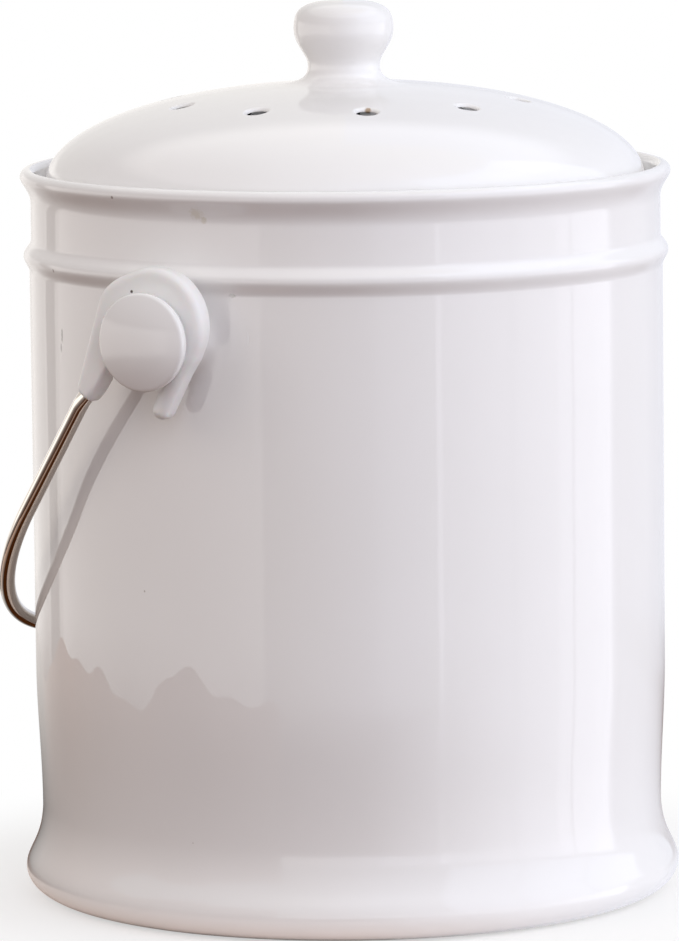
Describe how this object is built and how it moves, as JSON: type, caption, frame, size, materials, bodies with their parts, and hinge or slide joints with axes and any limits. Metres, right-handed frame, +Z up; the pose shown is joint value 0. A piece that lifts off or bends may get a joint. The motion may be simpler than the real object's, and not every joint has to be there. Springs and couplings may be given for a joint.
{
  "type": "compost caddy",
  "caption": "Round glazed stoneware caddy for kitchen scraps, with a lift-off vented lid, a charcoal filter inside it and a swinging wire bail.",
  "frame": {"origin": "middle of the ring that the crock stands on, at the level of the worktop", "axes": "+Z up along the axis of the crock; X along the axis that the bail turns about, with the front stud on -X; the bail rests against the wall on +Y"},
  "size_m": [0.22, 0.188, 0.2537],
  "materials": {
    "glaze": "white high-gloss glaze on stoneware",
    "hook_plastic": "satin white moulded plastic",
    "wire": "bright plated steel wire",
    "charcoal": "charcoal-filled fibre pad",
    "fleece": "grey needled fleece"
  },
  "bodies": {
    "crock_body": {"crock": "glaze", "front_stud": "glaze", "rear_stud": "glaze"},
    "lid_body": {"lid": "glaze", "lid_knob": "glaze"},
    "filter": {"filter_carbon_pad": "charcoal", "filter_fleece": "fleece"},
    "bail": {"bail_wire": "wire", "front_hook": "hook_plastic", "rear_hook": "hook_plastic"}
  },
  "joints": [
    {"name": "bail_swing", "type": "hinge", "parent": "crock_body", "child": "bail", "pos_m": [0, 0, 0.1667], "axis": [1, 0, 0], "range_deg": [0, 272]},
    {"name": "lid_lift", "type": "slide", "parent": "crock_body", "child": "lid_body", "axis": [0, 0, 1], "range_m": [0, 0.15]},
    {"name": "filter_pull", "type": "slide", "parent": "lid_body", "child": "filter", "axis": [0, 0, -1], "range_m": [0, 0.03]}
  ]
}
